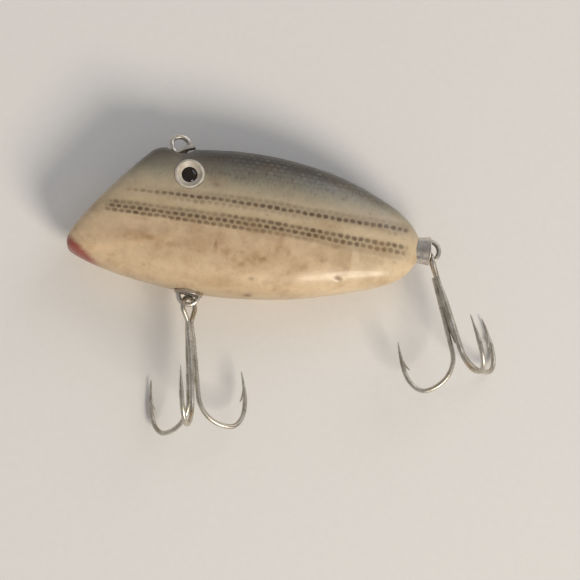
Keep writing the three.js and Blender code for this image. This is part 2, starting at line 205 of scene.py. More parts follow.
SPOTS = [
    (29.2, 1.7, 0.28, 0.25, 0.5), (31.4, -2.5, 0.45, 0.35, 0.6), (31.4, -6.7, 0.7, 0.9, 0.85),
    (45.8, -0.2, 0.5, 0.34, 1.0), (42.7, 2.4, 0.35, 0.3, 0.5), (44.8, 5.0, 0.4, 0.3, 0.45),
    (23.5, 12.4, 0.5, 0.3, 0.6), (37.3, -0.5, 0.25, 0.5, 0.35), (35.6, -3.9, 0.35, 0.3, 0.4),
    (24.7, 2.5, 0.22, 0.5, 0.45), (13.4, -2.7, 0.25, 0.3, 0.35), (52.8, 3.8, 0.5, 0.4, 0.25),
    (55.0, 4.4, 0.3, 0.3, 0.35), (46.9, 1.9, 0.4, 0.4, 0.35), (45.0, 13.6, 0.5, 0.35, 0.5),
    (40.2, 5.0, 0.25, 0.25, 0.35), (27.8, -3.3, 0.35, 0.35, 0.3), (33.0, 1.2, 0.4, 0.25, 0.4),
]
DENTS = [(45.8, -0.2, 0.5, 0.12), (46.9, -0.55, 0.5, -0.07), (31.4, -6.5, 0.7, 0.05), (28.2, 0.4, 0.45, 0.03)]


def soft_spots(places, spots):
    """How strongly each place is covered by soft round marks."""
    cover = np.zeros(len(places))
    for x, y, wide, high, strength in spots:
        away = ((places[:, 0] - x) / wide) ** 2 + ((places[:, 1] - y) / high) ** 2
        cover = np.maximum(cover, strength * np.exp(-away))
    return cover


def shown(name, mesh):
    """A new object in the scene with that mesh."""
    piece = bpy.data.objects.new(name, mesh)
    bpy.context.scene.collection.objects.link(piece)
    return piece


def plain_mesh(name, points, faces, material):
    """A mesh of lure points with outward faces, shaded smooth."""
    mesh = bpy.data.meshes.new(name)
    mesh.from_pydata([tuple(p) for p in in_frame(points)], [], faces)
    mesh.materials.append(material)
    mesh.shade_smooth()
    mesh.update()
    return shown(name, mesh)


def lathe(profile, sides, closed=False):
    """Points and faces of a profile of radius and height turned about +Y. An open profile starts
    and ends on the axis."""
    turn = np.linspace(0, 2 * math.pi, sides, endpoint=False)
    points, rings = [], []
    for radius, height in profile:
        if radius < 1e-6:
            rings.append([len(points)] * sides)
            points.append((0, height, 0))
        else:
            rings.append(list(range(len(points), len(points) + sides)))
            ring = [radius * np.cos(turn), np.full(sides, height), radius * np.sin(turn)]
            points.extend(np.column_stack(ring))
    faces = []
    for low, high in zip(rings, rings[1:] + rings[:1] if closed else rings[1:]):
        for k in range(sides):
            n = (k + 1) % sides
            corners = [low[k], high[k], high[n], low[n]]
            faces.append(tuple(dict.fromkeys(corners)))
    return np.array(points, float), faces


def placed(points, place, turn=0, lean=0):
    """Points of a turned piece, whose axis is +Y, leaned about X and turned about Z, at a place."""
    matrix = Matrix.Rotation(math.radians(turn), 3, "Z") @ Matrix.Rotation(math.radians(lean), 3, "X")
    return points @ np.array(matrix).T + np.array(place)


def joined(parts):
    """Several sets of points and faces as one."""
    points, faces, start = [], [], 0
    for some_points, some_faces in parts:
        points.append(some_points)
        faces.extend(tuple(corner + start for corner in face) for face in some_faces)
        start += len(some_points)
    return np.vstack(points), faces


# Where the other pieces are let into the wood. Each hanger hole turns about +Y of its own frame, the
# line tie stands in a groove across the back, and each eye's axis leans a little towards the back.
CUP = {"rim": 2.48, "neck": 2.38, "base": 2.08, "length": 3.6, "wall": 0.22, "floor": 0.3, "lip": 0.2}
RING_BELOW_RIM = 0.02
SHANK_IN_WOOD = 9
CUP_CLEARANCE = 0.04
SHANK_CLEARANCE = 0.04
TAIL_TURN = -86.6
BELLY_TURN = 177
TIE_CENTRE = np.array((16.5, 19.65, 0.0))
TIE_RADIUS = 0.45
TIE_LOOP = {"half_length": 1.5, "half_height": 1.22, "from": -42, "to": 205}
TIE_RISE = 1.05
TIE_GROOVE_RADIUS = 2.9
TIE_GROOVE_DEPTH = 1.45
GROOVE_STRETCH = 14
GROOVE_STEPS = 24
GROOVE_WRAP = (16.5, 17.2)
MOUTH_CLEARANCE = 0.5
EYE = {"x": 18.74, "y": 13.55, "lean": 4, "radius": 2.55, "rim": 2.15, "proud": 0.1, "depth": 1.2}
EYE_CLEARANCE = 0.03
HOLE_SIDES = 72


def hanger_hole():
    floor = RING_BELOW_RIM - CUP["length"] - CUP_CLEARANCE
    bore = WIRE_RADIUS + SHANK_CLEARANCE
    end = -SHANK_IN_WOOD - SHANK_CLEARANCE
    lip = RING_BELOW_RIM - CUP["lip"]
    mouth = RING_BELOW_RIM + MOUTH_CLEARANCE
    seat = [(CUP["base"] + CUP_CLEARANCE, floor), (CUP["rim"] + CUP_CLEARANCE, lip)]
    return lathe([(0, end), (bore, end), (bore, floor), *seat, (seat[-1][0], mouth), (0, mouth)], HOLE_SIDES)


def tie_hole():
    """The shank's bore, widened above into a groove across the back."""
    centre = TIE_GROOVE_RADIUS - TIE_GROOVE_DEPTH - TIE_LOOP["half_height"]
    bore = TIE_RADIUS + SHANK_CLEARANCE
    end = -SHANK_IN_WOOD - SHANK_CLEARANCE
    first = math.asin(bore / TIE_GROOVE_RADIUS)
    bowl = [(TIE_GROOVE_RADIUS * math.sin(a), centre - TIE_GROOVE_RADIUS * math.cos(a))
            for a in np.linspace(first, math.pi, GROOVE_STEPS)]
    bowl[-1] = (0, bowl[-1][1])
    points, faces = lathe([(0, end), (bore, end), *bowl], HOLE_SIDES)
    points[points[:, 1] > bowl[0][1] + SHANK_CLEARANCE, 2] *= GROOVE_STRETCH
    return points, faces


def eye_hole():
    wall = EYE["radius"] + EYE_CLEARANCE
    floor = -EYE["depth"] - EYE_CLEARANCE
    return lathe([(0, floor), (wall, floor), (wall, EYE["radius"]), (0, EYE["radius"])], HOLE_SIDES)


def eye_place(side):
    """Centre and lean of the eye on one side of the head, 1 for the left and -1 for the right. Its
    rim is the highest part of the head, which tells how far out it sits."""
    lean = math.radians(EYE["lean"])
    above = EYE["rim"] * math.sin(lean) + EYE["proud"] * math.cos(lean)
    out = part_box("left_eye")[1][2] / MM - LURE_START[2] - above
    return (EYE["x"], EYE["y"], side * out), side * (90 - EYE["lean"])


def linear(value):
    """An sRGB hex colour as linear red, green, blue and alpha."""
    parts = [int(value[i:i + 2], 16) / 255 for i in (1, 3, 5)]
    return (*(p / 12.92 if p <= 0.04045 else ((p + 0.055) / 1.055) ** 2.4 for p in parts), 1.0)


def add(tree, kind, links=(), **settings):
    """Adds a node, sets its settings, and joins or sets the sockets that links names."""
    node = tree.nodes.new(kind)
    for name, value in settings.items():
        setattr(node, name, value)
    for socket, value in dict(links).items():
        if isinstance(value, bpy.types.NodeSocket):
            tree.links.new(value, node.inputs[socket])
        else:
            node.inputs[socket].default_value = value
    return node


def new_material(name):
    """A material with an empty node tree but for its output."""
    material = bpy.data.materials.new(name)
    material.use_nodes = True
    material.node_tree.nodes.clear()
    return material, material.node_tree


def surfaced(material, links):
    """The material with a surface of these values."""
    tree = material.node_tree
    shader = add(tree, "ShaderNodeBsdfPrincipled", links)
    add(tree, "ShaderNodeOutputMaterial", {"Surface": shader.outputs[0]})
    return material


def lure_measure(tree):
    """The place on the lure in millimetres, from the object's own coordinates."""
    spot = add(tree, "ShaderNodeTexCoord").outputs["Object"]
    scaled = {"Vector": spot, "Scale": [1 / MM] * 3, "Location": -LURE_START}
    return add(tree, "ShaderNodeMapping", scaled).outputs[0]


# Lacquered spray paint on sealed wood: a soft gloss over slightly uneven colour, dark dots where
# the net let the spray through, and brown stains that show broad and blurred under the lacquer.
# Cream to slate paint by height round the section. The darkest tones towards the back also hold painted
# shade, where the back turns away from the light.
PAINT_AND_SHADE_TONES = [
    (-9.0, "#b9a281"), (-5.5, "#cfb591"), (-2.5, "#e1c6a0"), (1.5, "#dabd97"), (4.8, "#dabf9b"),
    (6.5, "#c8b08c"), (8.8, "#cab594"), (11.4, "#bbab8f"), (13.2, "#a19881"), (14.6, "#837d6d"),
    (16.2, "#6f6b60"), (17.4, "#57534c"), (18.6, "#3d3935"), (20.5, "#231f1d"), (26.0, "#181615"),
]
TONES_FROM, TONES_TO = -10.0, 28.0
TAIL_CREAM = "#dfcaa6"
STAIN_BROWN = "#966c3a"
SPOT_BROWN = "#553b23"
DOT_BROWN = "#4a3520"
SCALE_SILVER = "#96937f"
SCALE_EDGE = "#2c2a27"
CHIN_RED = "#93382d"
CREAM = {"along": (38.0, 52.0), "round": (10.5, 6.5), "share": 0.7}
BACK_SCALES = {"under": (13.4, 15.6), "over": (21.0, 18.5), "along": (22.0, 32.0, 0.12, 0.8)}
STREAKS = {"under": (12.0, 14.5), "over": (20.0, 17.5), "along": (14.0, 22.0), "share": 0.4}
PATCH = {"end": (47.9, 47.4), "along": (43.2, 45.8), "under": (-0.6, 0.8), "over": (5.6, 4.6), "share": 0.36}
CHIN = {"slope": 0.68, "edge": (2.1, 0.7), "along": (7.2, 4.4), "share": 0.94}

# The net: its first column and main row, how wide its cells are, and how its rows sag and spread
# towards the tail. Each of its rows let through more or less spray along the lure. Creep is what
# got in under the threads: how its rows begin and end, and where along the lure.
NET_PITCH = 1.185
NET_START = 7.9
NET_ROW = [(4, 6.55), (34, 6.55), (41, 6.32), (47, 6.15), (52, 6.12), (60, 6.25)]
NET_SPREAD = [(4, 0.745), (12, 0.77), (20, 0.82), (28, 0.86), (40, 0.87), (49, 0.965), (60, 1.04)]
NET_HOLE = (1.12, 0.42)
CREEP_LOW = ((-1.7, -0.9), (1.9, 0.9), (4.8, 7.0))
CREEP_HIGH = ((2.7, 3.7), (5.8, 4.4), (8.0, 20.0))
CREEP_END = (58.0, 56.0)
VEIL_SHARE, DOT_SHARE, DOT_MOST = 0.26, 0.62, 0.86
STAIN_SHARE = 0.84
NET_SPRAY = {
    -1: [(4.6, 0), (5.6, 0.7), (8, 0.9), (28, 0.8), (34, 0.5), (42, 0.12), (46, 0.0)],
    0: [(5.4, 0), (6.4, 0.9), (40, 1.0), (47, 0.85), (56.3, 0.75), (57.4, 0)],
    1: [(6, 0), (7, 0.7), (9, 0.5), (14, 0.35), (24, 0.4), (28, 0.7), (38, 0.85), (46, 1.0), (56.4, 0.9),
        (57.4, 0)],
    3: [(15, 0), (18, 0.35), (21, 0.6), (24, 0.6), (30, 0.3), (38, 0.2), (42, 0.0), (52, 0.0),
        (54, 0.45), (57, 0)],
    4: [(8.2, 0), (9.6, 0.55), (13, 0.75), (20, 1.0), (50, 1.0), (56.4, 0.8), (57.4, 0)],
    5: [(20, 0), (26, 0.3), (36, 0.35), (48, 0.2), (54, 0.3), (57, 0)],
}


def ramp_linear(tree, value, start, end, low=0.0, high=1.0):
    """A value's share of the way from start to end, or a number as far from low to high."""
    links = {"Value": value, "From Min": start, "From Max": end, "To Min": low, "To Max": high}
    return add(tree, "ShaderNodeMapRange", links).outputs[0]


def set_tones(colour_ramp, tones, start, end):
    """Puts tones, hex colours or greys, on a colour ramp that runs from start to end."""
    stops = colour_ramp.elements
    for at, _ in tones[1:-1]:
        stops.new((at - start) / (end - start))
    for stop, (at, value) in zip(stops, tones):
        stop.position = (at - start) / (end - start)
        stop.color = linear(value) if isinstance(value, str) else (value, value, value, 1.0)


def paint():
    material, tree = new_material("lacquered_paint")
    wrap = add(tree, "ShaderNodeUVMap", uv_map="net_wrap").outputs[0]
    place = lure_measure(tree)

    def math_of(kind, *values):
        return add(tree, "ShaderNodeMath", dict(enumerate(values)), operation=kind).outputs[0]

    def times(*values):
        product = values[0]
        for value in values[1:]:
            product = math_of("MULTIPLY", product, value)
        return product

    def ramp(value, start, end, low=0.0, high=1.0):
        links = {"Value": value, "From Min": start, "From Max": end, "To Min": low, "To Max": high}
        return add(tree, "ShaderNodeMapRange", links, interpolation_type="SMOOTHSTEP").outputs[0]

    def noise(size, detail=3.0, rough=0.55, where=place):
        """Cloudy unevenness whose blobs are about that many millimetres across."""
        links = {"Vector": where, "Scale": 1 / size, "Detail": detail, "Roughness": rough}
        return add(tree, "ShaderNodeTexNoise", links).outputs[0]

    def tint(colour, other, share, kind="MIX"):
        links = {0: share, 6: colour, 7: other}
        return add(tree, "ShaderNodeMix", links, data_type="RGBA", blend_type=kind).outputs[2]

    flat = add(tree, "ShaderNodeSeparateXYZ", {0: wrap})
    along, height = flat.outputs[0], flat.outputs[1]
    share_along = ramp_linear(tree, along, 0.0, 60.0)

    def by_length(stops):
        """A value that changes along the lure, from its values at distances from the nose."""
        line = add(tree, "ShaderNodeValToRGB", {0: share_along})
        top = max(value for _, value in stops) or 1.0
        set_tones(line.color_ramp, [(at, value / top) for at, value in stops], 0.0, 60.0)
        return times(line.outputs[0], top)

    # Sprayed ground, cream below and slate above, its borders wavering by a few tenths. Towards the back it
    # is darker still, as painted shade.
    level = math_of("ADD", height, math_of("MULTIPLY_ADD", noise(6.0), 1.2, -0.6))
    tones = add(tree, "ShaderNodeValToRGB", {0: ramp_linear(tree, level, TONES_FROM, TONES_TO)})
    set_tones(tones.color_ramp, PAINT_AND_SHADE_TONES, TONES_FROM, TONES_TO)
    colour = tones.outputs[0]
    cream = times(ramp(along, *CREAM["along"]), ramp(height, *CREAM["round"]))
    colour = tint(colour, linear(TAIL_CREAM), times(cream, CREAM["share"]))

    # Net: rows of cells, each row set half a cell along from the next. The dots are a little
    # uneven in place, size and strength, as the net lay loose in places.
    sway = math_of("MULTIPLY_ADD", noise(2.2, 1.0), 0.36, -0.18)
    net_height = math_of("ADD", height, sway)
    net_along = math_of("ADD", along, math_of("MULTIPLY_ADD", noise(2.7, 1.0), 0.44, -0.22))
    spread = by_length(NET_SPREAD)
    rows = math_of("DIVIDE", math_of("SUBTRACT", net_height, by_length(NET_ROW)), spread)
    row = math_of("ROUND", rows)
    half = times(math_of("FLOORED_MODULO", row, 2.0), 0.5)
    columns = math_of("DIVIDE", math_of("SUBTRACT", net_along, NET_START), NET_PITCH)
    columns = math_of("SUBTRACT", columns, half)
    column = math_of("ROUND", columns)
    across = math_of("DIVIDE", math_of("SUBTRACT", columns, column), 0.5)
    up = math_of("DIVIDE", math_of("SUBTRACT", rows, row), 0.5)
    away = math_of("SQRT", math_of("ADD", times(across, across), times(up, up)))
    away = math_of("ADD", away, math_of("MULTIPLY_ADD", noise(0.45, 2.0), 0.6, -0.3))
    cell = add(tree, "ShaderNodeCombineXYZ", {0: column, 1: row}).outputs[0]
    chance = add(tree, "ShaderNodeTexWhiteNoise", {"Vector": cell}, noise_dimensions="2D").outputs[0]
    hole = ramp(away, *NET_HOLE)

    # Two stripes sprayed through the net. A little spray also crept under its threads.
    spray = 0.0
    for number, stops in NET_SPRAY.items():
        in_row = math_of("COMPARE", row, float(number), 0.25)
        spray = math_of("ADD", times(in_row, by_length(stops)), spray)
    creep_low, creep_high = (
        times(ramp(rows, *first), ramp(rows, *last), ramp(along, *start), ramp(along, *CREEP_END))
        for first, last, start in (CREEP_LOW, CREEP_HIGH))
    uneven = math_of("MULTIPLY_ADD", noise(3.2), 0.9, 0.5)
    strength = times(spray, uneven, math_of("MULTIPLY_ADD", chance, 0.3, 0.78))
    veil = times(math_of("MAXIMUM", creep_low, creep_high), uneven, VEIL_SHARE)
    dots = math_of("MINIMUM", math_of("ADD", veil, times(strength, hole, DOT_SHARE)), DOT_MOST)
    colour = tint(colour, linear(DOT_BROWN), dots)

    # On the back the same net shows as silvery scales with darker edges, blurred and broken.
    patchy = ramp(noise(2.6, 3.0), 0.3, 0.62, 0.25, 1.0)
    band = times(ramp(height, *BACK_SCALES["under"]), ramp(height, *BACK_SCALES["over"]))
    scaly = times(band, ramp(along, *BACK_SCALES["along"]), patchy)
    colour = tint(colour, linear(SCALE_EDGE), times(scaly, math_of("SUBTRACT", 1.0, hole), 0.3))
    silver = times(scaly, hole, math_of("MULTIPLY_ADD", chance, 0.35, 0.12))
    colour = tint(colour, linear(SCALE_SILVER), silver)
    tall = add(tree, "ShaderNodeMapping", {"Vector": wrap, "Scale": (2.4, 0.8, 1.0)}).outputs[0]
    band = times(ramp(height, *STREAKS["under"]), ramp(height, *STREAKS["over"]))
    streak = times(ramp(noise(1.0, 3.0, 0.6, tall), 0.48, 0.7), band, ramp(along, *STREAKS["along"]))
    colour = tint(colour, linear(SCALE_EDGE), times(streak, STREAKS["share"]))

    # Stains of old handling, broad and cloudy, and small brown spots where the paint is through.
    stain = add(tree, "ShaderNodeAttribute", attribute_name="stain").outputs["Fac"]
    spot = add(tree, "ShaderNodeAttribute", attribute_name="spot").outputs["Fac"]
    edge_of_stain = math_of("ADD", along, math_of("MULTIPLY_ADD", noise(1.6), 1.0, -0.5))
    patch = times(ramp(edge_of_stain, *PATCH["end"]), ramp(along, *PATCH["along"]),
                  ramp(height, *PATCH["under"]), ramp(height, *PATCH["over"]))
    cloudy = times(ramp(noise(4.5, 5.0, 0.6), 0.42, 0.7), ramp(height, 9.5, 4.0, 0.15, 0.42))
    soak = math_of("MAXIMUM", times(stain, ramp(noise(1.5, 5.0, 0.62), 0.3, 0.66, 0.35, 1.0)), cloudy)
    soak = math_of("MAXIMUM", soak, times(patch, PATCH["share"]))
    colour = tint(colour, linear(STAIN_BROWN), times(soak, STAIN_SHARE))
    flecks = times(ramp(noise(0.55, 2.0), 0.67, 0.77), 0.4)
    colour = tint(colour, linear(SPOT_BROWN), math_of("MAXIMUM", times(spot, 0.75), flecks))
    grime = math_of("MULTIPLY_ADD", noise(1.3, 4.0, 0.65), 0.4, 0.8)
    grey = add(tree, "ShaderNodeCombineColor", {0: grime, 1: grime, 2: grime}).outputs[0]
    colour = tint(colour, grey, 1.0, "MULTIPLY")

    # Red under the chin, sprayed with a soft border.
    side = add(tree, "ShaderNodeSeparateXYZ", {0: place})
    wavering = math_of("ADD", side.outputs[1], noise(1.2))
    chin = math_of("MULTIPLY_ADD", side.outputs[0], CHIN["slope"], wavering)
    red = times(ramp(chin, *CHIN["edge"]), ramp(side.outputs[0], *CHIN["along"]))
    colour = tint(colour, linear(CHIN_RED), times(red, CHIN["share"]))

    relief = math_of("ADD", times(noise(0.9, 3.0), 0.05), times(dots, 0.012))
    relief = math_of("SUBTRACT", relief, times(spot, 0.06))
    bump = add(tree, "ShaderNodeBump", {"Height": relief, "Distance": MM, "Strength": 0.35})
    rough = math_of("ADD", ramp(noise(2.6, 4.0), 0.3, 0.7, 0.27, 0.42), times(spot, 0.3))
    links = {"Base Color": colour, "Roughness": rough, "Normal": bump.outputs[0], "IOR": 1.5,
             "Coat Weight": 0.2, "Coat Roughness": 0.12, "Coat IOR": 1.5}
    return surfaced(material, links)


# Bare light wood, such as basswood, where a bore was drilled: pale, dry, with fine fibres.
def bare_wood():
    material, tree = new_material("drilled_basswood")
    links = {"Vector": lure_measure(tree), "Scale": (0.4, 4.0, 4.0)}
    stretched = add(tree, "ShaderNodeMapping", links).outputs[0]
    fibre = add(tree, "ShaderNodeTexNoise", {"Vector": stretched, "Scale": 1.0, "Detail": 4.0}).outputs[0]
    links = {0: fibre, 6: linear("#6f5334"), 7: linear("#a9845a")}
    colour = add(tree, "ShaderNodeMix", links, data_type="RGBA").outputs[2]
    return surfaced(material, {"Base Color": colour, "Roughness": 0.8})


def body_mesh(material):
    """Both sides sewn together along the outline, with the dents pressed in."""
    side = body_side()
    rows = BODY_RINGS
    left = side[:, 1:].transpose(1, 0, 2).reshape(-1, 3)
    wraps = wrapped(left)
    for along, height, radius, depth in DENTS:
        away = np.hypot(wraps[:, 0] - along, wraps[:, 1] - height) / radius
        left[:, 2] -= depth * np.exp(-away**2)
    inner = (rows - 1) * BODY_AROUND
    right = side[:, 1:-1].transpose(1, 0, 2).reshape(-1, 3) * (1, 1, -1)
    right[:, 2] = np.maximum(right[:, 2], REST_FLAT_DEPTH - HALF_THICKNESS)
    top = (*CROWN, HALF_THICKNESS)
    under = (*CROWN, REST_FLAT_DEPTH - HALF_THICKNESS)
    points = np.vstack([left, right, [top, under]])
    wraps = np.vstack([wraps, wraps[:inner], [CROWN, CROWN]])
    crown, foot = len(points) - 2, len(points) - 1
    around = np.arange(BODY_AROUND)
    after = (around + 1) % BODY_AROUND
    faces = []
    for k in range(rows - 1):
        low, high = k * BODY_AROUND, (k + 1) * BODY_AROUND
        faces.extend(zip(low + around, high + around, high + after, low + after))
    for k in range(rows - 1):
        low = len(left) + k * BODY_AROUND
        high = low + BODY_AROUND if k < rows - 2 else inner
        faces.extend(zip(low + after, high + after, high + around, low + around))
    faces.extend(zip([crown] * BODY_AROUND, around, after))
    faces.extend(zip([foot] * BODY_AROUND, len(left) + after, len(left) + around))
    faces = [tuple(int(corner) for corner in face) for face in faces]
    piece = plain_mesh("painted_body", points, faces, material)
    mesh = piece.data
    corner_points = np.zeros(len(mesh.loops), int)
    mesh.loops.foreach_get("vertex_index", corner_points)
    mesh.uv_layers.new(name="net_wrap").data.foreach_set("uv", wraps[corner_points].ravel())
    for name, marks in (("stain", STAINS), ("spot", SPOTS)):
        values = soft_spots(wraps, marks)
        mesh.attributes.new(name, "FLOAT", "POINT").data.foreach_set("value", values)
    return piece


def with_modifier_applied(piece):
    """The piece with the mesh that its modifiers give, and no modifier left."""
    bpy.context.view_layer.update()
    made = bpy.data.meshes.new_from_object(piece.evaluated_get(bpy.context.evaluated_depsgraph_get()))
    piece.modifiers.clear()
    piece.data = made
    made.name = piece.name
    return piece


PAINT = paint()
body = body_mesh(PAINT)
hanger_points, hanger_faces = hanger_hole()
tie_points, tie_faces = tie_hole()
eye_points, eye_faces = eye_hole()
holes = [
    (placed(hanger_points, TAIL_RING, TAIL_TURN), hanger_faces),
    (placed(hanger_points, BELLY_RING, BELLY_TURN), hanger_faces),
    (placed(tie_points, TIE_CENTRE), tie_faces),
]
for side in (1, -1):
    place, lean = eye_place(side)
    holes.append((placed(eye_points, place, lean=lean), eye_faces))
drill = plain_mesh("drill", *joined(holes), bare_wood())

# The groove was filed before the lure was painted, so the slate of the back runs on through it.
drill.data.materials.append(PAINT)
first = 2 * len(hanger_faces)
for face in drill.data.polygons[first:first + len(tie_faces)]:
    face.material_index = 1
wraps = np.tile(GROOVE_WRAP, len(drill.data.loops))
drill.data.uv_layers.new(name="net_wrap").data.foreach_set("uv", wraps)
cut = body.modifiers.new("holes", "BOOLEAN")
cut.operation, cut.solver, cut.object, cut.material_mode = "DIFFERENCE", "EXACT", drill, "TRANSFER"
with_modifier_applied(body)
bpy.data.objects.remove(drill)
body.data.set_sharp_from_angle(angle=math.radians(40))
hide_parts("body")
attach(body, "lure")

# The dished eyes
# Each eye is one turned ring of off-white plastic, pressed into a drilled seat in the head. A
# black glass bead sits in its middle. The white has yellowed. Painted shade darkens it in a thin line
# where it meets the paint and in the seat below its dish.

DISH = {"foot": 1.3, "depth": 0.6, "belly": 0.6, "seat": 0.95, "bevel": 0.2}
PUPIL = {"radius": 1.27, "edge": 0.3, "crown": 0.34, "shoulder": 0.7}
EYE_SIDES = 96
SEAT_CLEARANCE = 0.02
IVORY = "#d9d2c4"
IVORY_DULL = "#b9ad98"
# Painted shade: the ring darkened where it meets the paint and in its seat.
IVORY_SHADE = "#5b4a36"


def turned(profile, sides, points=160, passes=3, closed=False):
    """A lathed piece whose profile has slightly rounded corners."""
    fine = evenly(profile, points, closed=closed)
    return lathe(sanded(fine, passes, closed=closed), sides, closed=closed)


def eye_white():
    material, tree = new_material("yellowed_ivory_plastic")
    place = lure_measure(tree)
    blotch = add(tree, "ShaderNodeTexNoise", {"Vector": place, "Scale": 0.9, "Detail": 4.0}).outputs[0]
    links = {0: ramp_linear(tree, blotch, 0.35, 0.7), 6: linear(IVORY), 7: linear(IVORY_DULL)}
    colour = add(tree, "ShaderNodeMix", links, data_type="RGBA").outputs[2]
    # Painted shade from each point's value: dark where the ring meets the paint and in its seat.
    painted_shade = add(tree, "ShaderNodeAttribute", attribute_name="painted_shade").outputs["Fac"]
    links = {0: painted_shade, 6: colour, 7: linear(IVORY_SHADE)}
    colour = add(tree, "ShaderNodeMix", links, data_type="RGBA").outputs[2]
    links = {"Vector": place, "Scale": 3.0, "Detail": 3.0}
    fine = add(tree, "ShaderNodeTexNoise", links).outputs[0]
    bump = add(tree, "ShaderNodeBump", {"Height": fine, "Distance": 0.03 * MM, "Strength": 0.4})
    rough = ramp_linear(tree, blotch, 0.3, 0.7, 0.28, 0.42)
    links = {"Base Color": colour, "Roughness": rough, "Normal": bump.outputs[0], "IOR": 1.49}
    return surfaced(material, links)


def pupil_glass():
    material, tree = new_material("black_glass_bead")
    place = lure_measure(tree)
    cloud = add(tree, "ShaderNodeTexNoise", {"Vector": place, "Scale": 1.2, "Detail": 2.0}).outputs[0]
    links = {0: cloud, 6: linear("#0d0a08"), 7: linear("#2b1b10")}
    colour = add(tree, "ShaderNodeMix", links, data_type="RGBA").outputs[2]
    rough = ramp_linear(tree, cloud, 0.0, 1.0, 0.06, 0.16)
    return surfaced(material, {"Base Color": colour, "Roughness": rough, "IOR": 1.5})


ivory, bead = eye_white(), pupil_glass()
top = EYE["proud"]
ring_profile = [
    (0, -EYE["depth"]), (EYE["radius"] - DISH["bevel"], -EYE["depth"]),
    (EYE["radius"], DISH["bevel"] - EYE["depth"]), (EYE["radius"], top - DISH["bevel"]),
    (EYE["rim"], top), ((EYE["rim"] + DISH["foot"]) / 2, top - DISH["depth"] * DISH["belly"]),
    (DISH["foot"], top - DISH["depth"]), (DISH["foot"], -DISH["seat"]), (0, -DISH["seat"]),
]
foot = SEAT_CLEARANCE - DISH["seat"]
rim = foot + PUPIL["edge"]
crown = bow((PUPIL["radius"], rim), (PUPIL["radius"] * PUPIL["shoulder"], rim + PUPIL["crown"]),
            (0, rim + PUPIL["crown"]))
bead_profile = [(0, foot), (PUPIL["radius"], foot), *crown]
for side, word in ((1, "left"), (-1, "right")):
    place, lean = eye_place(side)
    points, faces = turned(ring_profile, EYE_SIDES)
    eye = plain_mesh(f"{word}_dished_eye", placed(points, place, lean=lean), faces, ivory)
    away = np.hypot(points[:, 0], points[:, 2])
    # Painted shade: a thin dark line at the ring's outer edge, where it meets the paint, and darkness on all
    # below the dish, in the seat.
    painted_shade = 0.25 * np.exp(-((away - EYE["radius"]) / 0.1) ** 2) + 0.9 * (points[:, 1] < top - DISH["depth"])
    eye.data.attributes.new("painted_shade", "FLOAT", "POINT").data.foreach_set("value", np.clip(painted_shade, 0, 1))
    points, faces = turned(bead_profile, EYE_SIDES, passes=2)
    pupil = plain_mesh(f"{word}_bead", placed(points, place, lean=lean), faces, bead)
    for piece, node, finish in ((eye, f"{word}_eye", "eye_white"), (pupil, f"{word}_pupil", "pupil_black")):
        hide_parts(node)
        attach(piece, "lure")

# The hanger cups
# Two small thimbles of nickel-plated brass, pressed into the belly and the tail so that a swinging
# hook doesn't chafe the wood. Their lips are rolled, and the plate has dulled and darkened.

CUP_SIDES = 96


def worn_nickel(name, bright, dull, dark, darkness=0.35, rough=(0.22, 0.42)):
    """Old nickel plate: bright where it is rubbed, cloudy with tarnish, with small dark specks."""
    material, tree = new_material(name)
    place = lure_measure(tree)
    cloud = add(tree, "ShaderNodeTexNoise", {"Vector": place, "Scale": 0.5, "Detail": 5.0, "Roughness": 0.6})
    links = {0: ramp_linear(tree, cloud.outputs[0], 0.38, 0.66), 6: linear(bright), 7: linear(dull)}
    colour = add(tree, "ShaderNodeMix", links, data_type="RGBA").outputs[2]
    speck = add(tree, "ShaderNodeTexNoise", {"Vector": place, "Scale": 1.9, "Detail": 3.0, "Roughness": 0.6})
    spots = ramp_linear(tree, speck.outputs[0], 0.56, 0.68, 0.0, darkness)
    links = {0: spots, 6: colour, 7: linear(dark)}
    colour = add(tree, "ShaderNodeMix", links, data_type="RGBA").outputs[2]
    roughness = ramp_linear(tree, speck.outputs[0], 0.3, 0.7, *rough)
    links = {"Vector": place, "Scale": 4.0, "Detail": 3.0}
    pits = add(tree, "ShaderNodeTexNoise", links).outputs[0]
    bump = add(tree, "ShaderNodeBump", {"Height": pits, "Distance": 0.02 * MM, "Strength": 0.5})
    links = {"Base Color": colour, "Metallic": 1.0, "Roughness": roughness, "Normal": bump.outputs[0]}
    return surfaced(material, links)


dull_nickel = worn_nickel("dull_nickel_plate", "#ddd6cc", "#b8aea2", "#5d4b3a", darkness=0.25)
cup_bottom = RING_BELOW_RIM - CUP["length"]
shank_hole = WIRE_RADIUS + SHANK_CLEARANCE
cup_profile = [
    (shank_hole, cup_bottom), (CUP["base"], cup_bottom), (CUP["neck"], RING_BELOW_RIM - CUP["lip"]),
    (CUP["rim"], RING_BELOW_RIM - CUP["lip"]), (CUP["rim"], RING_BELOW_RIM),
    (CUP["rim"] - CUP["wall"], RING_BELOW_RIM), (CUP["base"] - CUP["wall"], cup_bottom + CUP["floor"]),
    (shank_hole, cup_bottom + CUP["floor"]),
]
HANGERS = (("belly", BELLY_RING, BELLY_TURN), ("tail", TAIL_RING, TAIL_TURN))
for word, place, turn in HANGERS:
    points, faces = turned([*cup_profile, cup_profile[0]], CUP_SIDES, points=200, passes=4, closed=True)
    cup = plain_mesh(f"{word}_hanger_cup", placed(points, place, turn), faces, dull_nickel)
    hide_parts(f"{word}_cup")
    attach(cup, "lure")

# The screw eyes and the line tie
# Nickel-plated steel wire. Each screw eye is bent to a ring whose end closes beside its shank. The
# line tie rises from the head, rounds a loop and crosses in front of its own foot.

